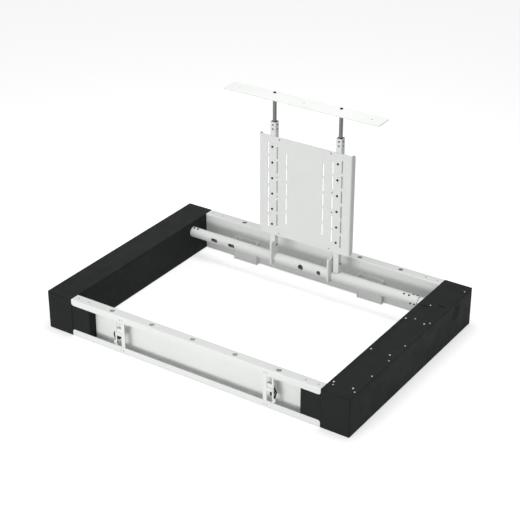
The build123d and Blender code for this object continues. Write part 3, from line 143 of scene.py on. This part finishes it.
class LiftStage(bpy.types.PropertyGroup):
    """Camera, floor and lamps."""
    azimuth: FloatProperty(name="Azimuth", description="Camera's turn from the front towards the right",
                           subtype="ANGLE", default=math.radians(33.665))
    elevation: FloatProperty(name="Elevation", description="Camera's height angle", subtype="ANGLE",
                             default=math.radians(28.184))
    eye: FloatVectorProperty(name="Eye", description="Camera's place", subtype="TRANSLATION", unit="LENGTH",
                             default=(3.1335, -4.7075, 3.3722))
    lens: FloatProperty(name="Lens", description="Focal length on a 36 mm sensor, in millimetres",
                        unit="CAMERA", default=98.36)
    floor_size: length("Floor", 30000, "Side of the floor")
    floor_gap: length("Floor gap", 0.5, "How far the floor lies under the frame")
    floor_bounce: FloatProperty(name="Floor bounce", description="Grey of the floor where it lights the lift",
                                subtype="FACTOR", min=0, max=1, default=0.50)
    floor_tone: FloatProperty(name="Floor tone", description="Grey of the floor where it is seen",
                              subtype="FACTOR", min=0, max=1, default=0.80)
    floor_glow: FloatProperty(name="Floor glow", description="Light that lifts the seen floor to white",
                              default=0.54)
    sky: FloatProperty(name="Sky", description="Strength of the even light", default=0.56)
    backdrop: FloatProperty(name="Backdrop", description="Strength of the sky where it is seen", default=1.2)
    front: FloatProperty(name="Front lamp", description="Power of the low lamp before the frame, in watts",
                         default=166)
    top: FloatProperty(name="Top lamp", description="Power of the lamp above, in watts", default=32)


def setting(group):
    """The values of one property group."""
    return getattr(bpy.context.scene, group)


# Materials

def add_node(tree, kind, inputs=None, **settings):
    """Adds a node; each input is a value or another node's output to link."""
    node = tree.nodes.new(kind)
    for name, value in settings.items():
        setattr(node, name, value)
    for name, value in (inputs or {}).items():
        socket = node.inputs[name]
        if isinstance(value, bpy.types.NodeSocket):
            tree.links.new(value, socket)
        else:
            socket.default_value = value
    return node


def per_metre(millimetres):
    """The texture scale whose pattern repeats about every so many millimetres."""
    return 1 / (millimetres * MM)


def new_material(name):
    """An empty material: its tree, its principled shader and the object's own coordinates."""
    material = bpy.data.materials.new(name)
    material.use_nodes = True
    tree = material.node_tree
    shader = tree.nodes["Principled BSDF"]
    place = add_node(tree, "ShaderNodeTexCoord").outputs["Object"]
    return material, tree, shader, place


def noise(tree, place, size, detail=2, stretch=(1, 1, 1)):
    """Noise whose blobs are about size millimetres across, longer along axes with a small stretch."""
    mapped = add_node(tree, "ShaderNodeMapping", {"Vector": place, "Scale": stretch}).outputs["Vector"]
    blobs = {"Vector": mapped, "Scale": per_metre(size), "Detail": detail}
    return add_node(tree, "ShaderNodeTexNoise", blobs).outputs["Fac"]


def ranged(tree, value, low, high):
    """Turns a noise value, mostly between NOISE_LOW and NOISE_HIGH, into low to high."""
    limits = {"From Min": NOISE_LOW, "From Max": NOISE_HIGH, "To Min": low, "To Max": high}
    return add_node(tree, "ShaderNodeMapRange", {"Value": value, **limits}).outputs["Result"]


def varied(tree, value, base, spread):
    """The base colour, from darker to lighter by spread as a noise value rises."""
    dark = tuple(c * (1 - spread) for c in base) + (1,)
    light = tuple(min(c * (1 + spread), 1) for c in base) + (1,)
    factor = ranged(tree, value, 0, 1)
    mixed = add_node(tree, "ShaderNodeMix", {6: dark, 7: light, "Factor": factor}, data_type="RGBA")
    return mixed.outputs[2]


def bumped(tree, height, distance, strength, under=None):
    """A bump of so many millimetres at full height, laid over another bump if given."""
    inputs = {"Height": height, "Distance": distance * MM, "Strength": strength}
    if under:
        inputs["Normal"] = under
    return add_node(tree, "ShaderNodeBump", inputs).outputs["Normal"]


def powder_coat(name, base, roughness, drift, gloss=0.5):
    """Baked powder coat on sheet steel: satin, with orange peel and a slow change of tone.

    Real orange peel repeats every 1 to 2 mm; it is drawn coarser so that it shows at this distance.
    """
    material, tree, shader, place = new_material(name)
    drifts = noise(tree, place, size=260, detail=3)
    smudges = noise(tree, place, size=55, detail=4)
    peel = noise(tree, place, size=setting("lift_sizes").peel / MM, detail=1)
    grit = noise(tree, place, size=1.6, detail=0)
    tree.links.new(varied(tree, drifts, base, drift), shader.inputs["Base Color"])
    tree.links.new(ranged(tree, smudges, roughness - 0.05, roughness + 0.07), shader.inputs["Roughness"])
    fine = bumped(tree, grit, distance=0.04, strength=0.25)
    tree.links.new(bumped(tree, peel, distance=0.12, strength=0.35, under=fine), shader.inputs["Normal"])
    shader.inputs["IOR"].default_value = 1.5
    shader.inputs["Specular IOR Level"].default_value = gloss
    return material


def ground_steel():
    """Ground round bar: dull grey, with the grinding wheel's rings round it.

    Real rings are finer than 1 mm; they are drawn 3 mm apart so that they show.
    """
    material, tree, shader, place = new_material("Ground steel rod")
    rings = noise(tree, place, size=3, stretch=(0.05, 0.05, 1))
    clouds = noise(tree, place, size=30, detail=3)
    tone = varied(tree, clouds, setting("lift_finishes").rod_steel, spread=0.10)
    tree.links.new(tone, shader.inputs["Base Color"])
    tree.links.new(ranged(tree, rings, low=0.30, high=0.46), shader.inputs["Roughness"])
    tree.links.new(bumped(tree, rings, distance=0.03, strength=0.4), shader.inputs["Normal"])
    shader.inputs["Metallic"].default_value = 0.85
    return material


def metal(name, base, low, high, grain, stretch, spread=0.06):
    """Bare or plated metal: its grain, in millimetres, sets roughness and a shallow bump.

    The real grain of such a finish is a few hundredths of a millimetre; it is drawn coarser so that it shows.
    """
    material, tree, shader, place = new_material(name)
    grains = noise(tree, place, size=grain, detail=3, stretch=stretch)
    clouds = noise(tree, place, size=12 * grain)
    tree.links.new(varied(tree, clouds, base, spread), shader.inputs["Base Color"])
    tree.links.new(ranged(tree, grains, low, high), shader.inputs["Roughness"])
    tree.links.new(bumped(tree, grains, distance=0.02, strength=0.3), shader.inputs["Normal"])
    shader.inputs["Metallic"].default_value = 1.0
    return material


def rough_skin(name, base, roughness, grain, depth):
    """A matt skin with a moulded or cast grain, its size and depth in millimetres.

    A real moulded grain is about 0.2 mm and a cast one about 1 mm; both are drawn coarser so that they show.
    """
    material, tree, shader, place = new_material(name)
    grains = noise(tree, place, size=grain)
    clouds = noise(tree, place, size=25 * grain, detail=3)
    tree.links.new(varied(tree, clouds, base, spread=0.10), shader.inputs["Base Color"])
    tree.links.new(ranged(tree, clouds, roughness - 0.06, roughness + 0.06), shader.inputs["Roughness"])
    tree.links.new(bumped(tree, grains, distance=depth, strength=0.5), shader.inputs["Normal"])
    return material


def solder_mask(base):
    """Green solder mask over copper tracks about 10 mm apart, which show as lighter lines."""
    material, tree, shader, place = new_material("Solder mask")
    field, dark_field, track = (tuple(share * c for c in base) + (1,) for share in (1, 0.8, 1.8))
    tracks = add_node(tree, "ShaderNodeTexBrick", {
        "Vector": place, "Scale": per_metre(10), "Color1": field, "Color2": dark_field, "Mortar": track,
        "Mortar Size": 0.04})
    tree.links.new(tracks.outputs["Color"], shader.inputs["Base Color"])
    tree.links.new(bumped(tree, tracks.outputs["Fac"], distance=0.05, strength=0.5), shader.inputs["Normal"])
    shader.inputs["Roughness"].default_value = 0.3
    return material


def make_materials():
    """One material for each slot of the record."""
    tone = setting("lift_finishes")
    even = (1, 1, 1)
    turned = (1, 0.05, 0.05)
    drawn = (0.05, 1, 1)
    return {
        # Matt black that takes the light softly and hardly mirrors the floor
        "black_coated_sheet": powder_coat("Black satin powder coat", tone.black_coat, roughness=0.58,
                                          drift=0.10, gloss=0.06),
        # Smooth pale coat with a soft shine along folds and on the tube
        "white_coated_steel": powder_coat("Light grey powder coat", tone.white_coat, roughness=0.40,
                                          drift=0.015),
        # Dull grey bar with faint rings
        "ground_steel": ground_steel(),
        # Bright, slightly cloudy plate on the small screws
        "zinc_screws": metal("Zinc plate", tone.zinc, 0.28, 0.45, grain=2.0, stretch=even, spread=0.10),
        # Near-black screws with a dull sheen
        "dark_screws": metal("Black oxide", tone.dark_screw, 0.30, 0.48, grain=1.0, stretch=even,
                             spread=0.15),
        # Grey steel with tool marks round its axis
        "turned_steel": metal("Turned steel", tone.machined, 0.22, 0.40, grain=1.2, stretch=turned),
        # Dark paint that lets the casting's grain show
        "cast_housing": rough_skin("Painted casting", tone.cast_paint, 0.55, grain=2.0, depth=0.15),
        # Warm, grainy brown metal
        "bronze": metal("Sintered bronze", tone.bronze, 0.35, 0.55, grain=0.8, stretch=even, spread=0.12),
        # Grey steel with cutter marks across the teeth
        "gear_steel": metal("Milled steel", tone.machined, 0.30, 0.50, grain=1.5, stretch=(0.1, 1, 1)),
        # Pale satin metal with drawing lines
        "drive_aluminium": metal("Anodised aluminium", tone.anodised, 0.30, 0.42, grain=1.0, stretch=drawn),
        # Black enamel, the glossiest of the dark skins
        "motor_case": rough_skin("Motor enamel", tone.plastic, 0.30, grain=4.0, depth=0.05),
        # Dull black with a fine mould grain
        "black_plastic": rough_skin("Moulded plastic", tone.plastic, 0.50, grain=0.8, depth=0.06),
        # The dullest black, without a highlight
        "black_rubber": rough_skin("Moulded rubber", tone.rubber, 0.80, grain=1.0, depth=0.05),
        # Green board whose copper tracks show through as lighter lines
        "circuit_board": solder_mask(tone.board),
    }


# Meshes

def merged_mesh(name, source):
    """A new closed mesh from a node's loose triangles.

    Corners that round to the same micrometre become one vertex; triangles that lose a corner go.
    """
    corners = np.empty(len(source.vertices) * 3, np.float32)
    source.vertices.foreach_get("co", corners)
    triangles = np.empty(len(source.loops), np.int32)
    source.loops.foreach_get("vertex_index", triangles)
    corners = corners.reshape(-1, 3)
    keys = np.round(corners / MERGE).astype(np.int64)
    _, first, index = np.unique(keys, axis=0, return_index=True, return_inverse=True)
    triangles = index.reshape(-1)[triangles].reshape(-1, 3)
    a, b, c = triangles.T
    triangles = triangles[(a != b) & (b != c) & (c != a)]
    mesh = bpy.data.meshes.new(name)
    mesh.from_pydata(corners[first].tolist(), [], triangles.tolist())
    return flat_faces_joined(mesh)


def flat_faces_joined(mesh):
    """Joins triangles that lie in one plane, so that a rounded edge meets whole faces."""
    work = bmesh.new()
    work.from_mesh(mesh)
    bmesh.ops.dissolve_limit(work, angle_limit=FLAT_ANGLE, verts=work.verts, edges=work.edges)
    work.to_mesh(mesh)
    work.free()
    return mesh


def grid_mesh(name, points):
    """A mesh of quads over a grid of points, shape (u, v, 3), joined round in v."""
    rows, columns = points.shape[:2]
    index = np.arange(rows * columns).reshape(rows, columns)
    index = np.hstack([index, index[:, :1]])
    quads = np.stack([index[:-1, :-1], index[1:, :-1], index[1:, 1:], index[:-1, 1:]], -1).reshape(-1, 4)
    mesh = bpy.data.meshes.new(name)
    mesh.from_pydata(points.reshape(-1, 3).tolist(), [], quads.tolist())
    return mesh


def new_piece(name, mesh, body, slot):
    """Puts a mesh in the scene as a piece with its slot's material, riding on a body."""
    mesh.update()
    piece = bpy.data.objects.new(name, mesh)
    bpy.context.scene.collection.objects.link(piece)
    mesh.materials.clear()
    mesh.materials.append(MATERIALS[slot])
    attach(piece, body)
    return piece


def finish_node(node, edge):
    """A finished copy of a node: the same solid, its edges rounded by edge, or left sharp if edge is 0."""
    mesh = merged_mesh(node + "_finished", NODES[node].data)
    mesh.shade_smooth()
    mesh.set_sharp_from_angle(angle=SMOOTH_ANGLE)
    piece = new_piece(node + "_finished", mesh, BODY_OF[node], SLOT_OF[node])
    if edge:
        bevel = piece.modifiers.new("Edge", "BEVEL")
        bevel.width = edge
        bevel.segments = 2
        bevel.limit_method = "ANGLE"
        bevel.angle_limit = EDGE_ANGLE
        bevel.use_clamp_overlap = False
    piece.modifiers.new("Whole faces", "TRIANGULATE").keep_custom_normals = False
    piece.modifiers.new("Even shading", "WEIGHTED_NORMAL").keep_sharp = True
    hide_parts(node)
    return piece


def second_finish(piece, slot, low, high):
    """Gives the faces whose middles lie from low to high along X another slot's material."""
    mesh = piece.data
    mesh.materials.append(MATERIALS[slot])
    middles = np.empty(len(mesh.polygons) * 3, np.float32)
    mesh.polygons.foreach_get("center", middles)
    along = middles[0::3]
    finishes = np.empty(len(mesh.polygons), np.int32)
    mesh.polygons.foreach_get("material_index", finishes)
    finishes[(along > low) & (along < high)] = len(mesh.materials) - 1
    mesh.polygons.foreach_set("material_index", finishes)


def bead(name, path, normal, radius):
    """A weld bead along a path on a surface, its ripples like fish scales.

    The cross-section at path point p is p + r * (cos(a) * n + sin(a) * b), where n is the surface's normal,
    b is the path's direction crossed with n, and r = R * (1 + swell * cos(2 * pi * s / ripple)), with s the
    length along the path. It shrinks to a point at both ends by the square root of sin(pi * s / S).
    """
    sizes = setting("lift_sizes")
    ahead = np.gradient(path, axis=0)
    ahead /= np.linalg.norm(ahead, axis=1, keepdims=True)
    across = np.cross(ahead, normal)
    across /= np.linalg.norm(across, axis=1, keepdims=True)
    steps = np.linalg.norm(np.diff(path, axis=0), axis=1)
    run = np.concatenate([[0], np.cumsum(steps)])
    size = radius * (1 + sizes.weld_swell * np.cos(2 * math.pi * run / sizes.weld_ripple))
    size *= np.sqrt(np.clip(np.sin(math.pi * run / run[-1]), 0, 1))
    angle = np.linspace(0, 2 * math.pi, sizes.weld_sides, endpoint=False)[None, :, None]
    ring = np.cos(angle) * normal[:, None] + np.sin(angle) * across[:, None]
    mesh = grid_mesh(name, path[:, None] + size[:, None, None] * ring)
    work = bmesh.new()
    work.from_mesh(mesh)
    bmesh.ops.remove_doubles(work, verts=work.verts, dist=MERGE)
    bmesh.ops.recalc_face_normals(work, faces=work.faces)
    work.to_mesh(mesh)
    work.free()
    mesh.shade_smooth()
    return new_piece(name, mesh, "swing", "white_coated_steel")


def arm_weld(name, x, arm, radius):
    """A bead round the cross tube at x, along the arc where an arm touches it.

    With t from the arc's lower front end to its upper back end: y = Y - R cos(t), z = Z + R sin(t).
    """
    sizes = setting("lift_sizes")
    low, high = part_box(arm)
    start = math.asin((low.z - AXIS.z) / radius)
    end = math.pi - math.acos(min((high.y - AXIS.y) / radius, 1))
    turn = np.linspace(start, end, sizes.weld_steps)
    normal = np.stack([0 * turn, -np.cos(turn), np.sin(turn)], -1)
    path = normal * radius + np.array([x, AXIS.y, AXIS.z])
    bead(name, path, normal, sizes.weld_width / 2)


# Operators, one for each group of pieces

class LIFT_OT_rails(bpy.types.Operator):
    """Finish the two channel rails, their blocks and brackets"""
    bl_idname = "lift.rails"
    bl_label = "Rails"

    def execute(self, context):
        edge = setting("lift_sizes").sheet_edge
        for node in ("front_rail", "back_rail", "rail_joint_blocks", "left_rail_bracket",
                     "right_rail_bracket"):
            finish_node(node, edge)
        return {"FINISHED"}


class LIFT_OT_side_boxes(bpy.types.Operator):
    """Finish the black side boxes and their covers"""
    bl_idname = "lift.side_boxes"
    bl_label = "Side boxes"

    def execute(self, context):
        edge = setting("lift_sizes").sheet_edge
        for node in ("left_side_box", "right_side_box", "left_side_cover", "right_side_cover"):
            finish_node(node, edge)
        return {"FINISHED"}


class LIFT_OT_swing(bpy.types.Operator):
    """Finish the cross tube, its shafts, the arms and the columns"""
    bl_idname = "lift.swing"
    bl_label = "Swinging tube"

    def execute(self, context):
        sizes = setting("lift_sizes")
        for node in ("left_column", "right_column", "left_swing_arm", "right_swing_arm"):
            finish_node(node, sizes.sheet_edge)
        for node in ("cross_tube", "left_stub_shaft", "rod_sleeves"):
            finish_node(node, 0)
        finish_node("left_shaft_collar", sizes.machined_edge)
        hub = finish_node("right_stub_shaft", 0)
        tube_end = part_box("cross_tube")[1].x
        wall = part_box("right_side_box")[0].x
        # The hub starts at the groove's end; its first faces have their middles just beyond
        groove_shade_end = tube_end + 0.9 * sizes.groove
        # Black oxide on the groove's strip is painted shade, standing in for the shade down in the groove
        second_finish(hub, "dark_screws", tube_end - sizes.groove, groove_shade_end)
        second_finish(hub, "white_coated_steel", groove_shade_end, wall + sizes.hub_cover)
        return {"FINISHED"}


class LIFT_OT_welds(bpy.types.Operator):
    """Add the welds that join the arms to the cross tube"""
    bl_idname = "lift.welds"
    bl_label = "Welds"

    def execute(self, context):
        tube_low, tube_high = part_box("cross_tube")
        radius = (tube_high.z - tube_low.z) / 2
        arm_weld("left_arm_left_weld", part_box("left_swing_arm")[0].x, "left_swing_arm", radius)
        arm_weld("left_arm_right_weld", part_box("left_swing_arm")[1].x, "left_swing_arm", radius)
        arm_weld("right_arm_left_weld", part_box("right_swing_arm")[0].x, "right_swing_arm", radius)
        return {"FINISHED"}


class LIFT_OT_display_plate(bpy.types.Operator):
    """Finish the slotted display plate"""
    bl_idname = "lift.display_plate"
    bl_label = "Display plate"

    def execute(self, context):
        finish_node("display_plate", setting("lift_sizes").sheet_edge)
        return {"FINISHED"}


class LIFT_OT_lid(bpy.types.Operator):
    """Finish the height rods and the lid strip"""
    bl_idname = "lift.lid"
    bl_label = "Lid strip"

    def execute(self, context):
        sizes = setting("lift_sizes")
        finish_node("lid_strip", sizes.sheet_edge)
        for node in ("left_height_rod", "right_height_rod"):
            finish_node(node, sizes.machined_edge)
        return {"FINISHED"}


class LIFT_OT_catches(bpy.types.Operator):
    """Finish the two catches in the front rail"""
    bl_idname = "lift.catches"
    bl_label = "Catches"

    def execute(self, context):
        sizes = setting("lift_sizes")
        for hand in ("left", "right"):
            for part in ("bracket", "block", "lever"):
                finish_node(f"{hand}_catch_{part}", sizes.machined_edge)
        finish_node("catch_buffers", sizes.sheet_edge)
        return {"FINISHED"}


class LIFT_OT_fasteners(bpy.types.Operator):
    """Finish every screw, pin and key"""
    bl_idname = "lift.fasteners"
    bl_label = "Fasteners"

    def execute(self, context):
        edge = setting("lift_sizes").screw_edge
        covers = finish_node("side_cover_screws", edge)
        # Those of the right cover are bright, as in the photograph
        second_finish(covers, "zinc_screws", 0, CAD_BOX[1][0])
        for node in ("inner_wall_screws", "rail_joint_screws", "rail_bracket_screws",
                     "cross_tube_screws", "display_plate_screws", "column_screws", "lid_strip_screws",
                     "catch_screws", "catch_pivots", "drive_gear_key", "rack_cross_pin"):
            finish_node(node, edge)
        return {"FINISHED"}


class LIFT_OT_drive(bpy.types.Operator):
    """Finish the bearings and the drive inside the boxes"""
    bl_idname = "lift.drive"
    bl_label = "Drive"

    def execute(self, context):
        edge = setting("lift_sizes").machined_edge
        for node in ("left_bearing_housing", "right_bearing_housing", "outer_bearing_plate", "bearing_bushes",
                     "drive_gear", "gear_rack", "rack_guide", "right_box_cross_plates", "left_box_stiffeners",
                     "motor_gearbox", "actuator_tube", "actuator_end_cap", "drive_motor", "push_rod",
                     "lead_nut", "lead_screw", "control_case", "control_board", "power_inlet"):
            finish_node(node, edge)
        return {"FINISHED"}


class LIFT_OT_stage(bpy.types.Operator):
    """Add the floor, the lamps and the camera"""
    bl_idname = "lift.stage"
    bl_label = "Stage"

    def execute(self, context):
        stage = setting("lift_stage")
        scene = context.scene
        scene.view_settings.view_transform = "Standard"
        add_camera(scene, stage)
        add_floor(stage)
        add_world(scene, stage)
        add_lamp("Front lamp", stage.front, place=(-0.6, -5.5, 0.9), target=(-0.6, 0, 0.4), size=(3.2, 1.8))
        add_lamp("Top lamp", stage.top, place=(0.1, 0.2, 2.95), target=(0.1, 0.2, 0), size=(1.6, 1.2))
        return {"FINISHED"}


def add_camera(scene, stage):
    """The camera at the photograph's place, level, looking down by the elevation."""
    data = bpy.data.cameras.new("Camera")
    data.lens = stage.lens
    data.clip_end = 100
    camera = bpy.data.objects.new("Camera", data)
    camera.location = stage.eye
    camera.rotation_euler = (math.pi / 2 - stage.elevation, 0, stage.azimuth)
    scene.collection.objects.link(camera)
    scene.camera = camera


def add_floor(stage):
    """A pale matt floor just under the frame; it looks white and keeps the shadow."""
    half = stage.floor_size / 2
    level = CAD_BOX[0][2] - stage.floor_gap
    corners = [(-half, -half, level), (half, -half, level), (half, half, level), (-half, half, level)]
    mesh = bpy.data.meshes.new("Floor")
    mesh.from_pydata(corners, [], [(0, 1, 2, 3)])
    floor = bpy.data.objects.new("Floor", mesh)
    bpy.context.scene.collection.objects.link(floor)
    material = bpy.data.materials.new("Pale floor")
    material.use_nodes = True
    tree = material.node_tree
    tree.nodes.clear()
    seen = seen_directly(tree)
    bounce = 3 * (stage.floor_bounce,) + (1,)
    shown = 3 * (stage.floor_tone,) + (1,)
    tone = add_node(tree, "ShaderNodeMix", {"Factor": seen, 6: bounce, 7: shown}, data_type="RGBA").outputs[2]
    matt = add_node(tree, "ShaderNodeBsdfDiffuse", {"Color": tone}).outputs["BSDF"]
    glow_strength = add_node(tree, "ShaderNodeMath", {0: seen, 1: stage.floor_glow},
                             operation="MULTIPLY").outputs["Value"]
    glow = add_node(tree, "ShaderNodeEmission", {"Strength": glow_strength}).outputs["Emission"]
    both = add_node(tree, "ShaderNodeAddShader", {0: matt, 1: glow}).outputs["Shader"]
    add_node(tree, "ShaderNodeOutputMaterial", {"Surface": both})
    mesh.materials.append(material)


def seen_directly(tree):
    """1 for rays from the camera, glossy rays and transmitted rays, otherwise 0."""
    path = add_node(tree, "ShaderNodeLightPath").outputs
    seen = path["Is Camera Ray"]
    for ray in ("Is Glossy Ray", "Is Transmission Ray"):
        seen = add_node(tree, "ShaderNodeMath", {0: seen, 1: path[ray]}, operation="MAXIMUM").outputs["Value"]
    return seen


def add_world(scene, stage):
    """An even pale sky that looks white where it is seen."""
    world = bpy.data.worlds.new("Sky")
    world.use_nodes = True
    tree = world.node_tree
    tree.nodes.clear()
    seen = seen_directly(tree)
    light = add_node(tree, "ShaderNodeMapRange", {"Value": seen, "To Min": stage.sky,
                                                  "To Max": stage.backdrop}).outputs["Result"]
    back = add_node(tree, "ShaderNodeBackground", {"Strength": light}).outputs["Background"]
    add_node(tree, "ShaderNodeOutputWorld", {"Surface": back})
    scene.world = world


def add_lamp(name, power, place, target, size):
    """A rectangular soft lamp, size wide and high, at place and pointed at target."""
    data = bpy.data.lights.new(name, "AREA")
    data.shape = "RECTANGLE"
    data.size, data.size_y = size
    data.energy = power
    lamp = bpy.data.objects.new(name, data)
    lamp.location = place
    lamp.rotation_euler = (Vector(target) - Vector(place)).to_track_quat("-Z", "Y").to_euler()
    lamp.visible_camera = False
    bpy.context.scene.collection.objects.link(lamp)


OPERATORS = (LIFT_OT_stage, LIFT_OT_rails, LIFT_OT_side_boxes, LIFT_OT_swing, LIFT_OT_welds,
             LIFT_OT_display_plate, LIFT_OT_lid, LIFT_OT_catches, LIFT_OT_fasteners, LIFT_OT_drive)
GROUPS = {"lift_finishes": LiftFinishes, "lift_sizes": LiftSizes, "lift_stage": LiftStage}


class LIFT_PT_panel(bpy.types.Panel):
    """The lift's settings and its steps"""
    bl_idname = "LIFT_PT_panel"
    bl_label = "Display lift"
    bl_space_type = "VIEW_3D"
    bl_region_type = "UI"
    bl_category = "Lift"

    def draw(self, context):
        for operator in OPERATORS:
            self.layout.operator(operator.bl_idname)
        for name, group in GROUPS.items():
            for key in group.__annotations__:
                self.layout.prop(getattr(context.scene, name), key)


def register():
    """Registers the classes and hangs the property groups on the scene."""
    for group in GROUPS.values():
        bpy.utils.register_class(group)
    for operator in OPERATORS:
        bpy.utils.register_class(operator)
    bpy.utils.register_class(LIFT_PT_panel)
    for name, group in GROUPS.items():
        setattr(bpy.types.Scene, name, PointerProperty(type=group))


def unregister():
    """Undoes register in the opposite order."""
    for name in reversed(GROUPS):
        delattr(bpy.types.Scene, name)
    bpy.utils.unregister_class(LIFT_PT_panel)
    for operator in reversed(OPERATORS):
        bpy.utils.unregister_class(operator)
    for group in reversed(GROUPS.values()):
        bpy.utils.unregister_class(group)


MATERIALS = {}


def main():
    """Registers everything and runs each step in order."""
    register()
    MATERIALS.update(make_materials())
    for operator in OPERATORS:
        group, step = operator.bl_idname.split(".")
        getattr(getattr(bpy.ops, group), step)()


if __name__ == "__main__":
    main()
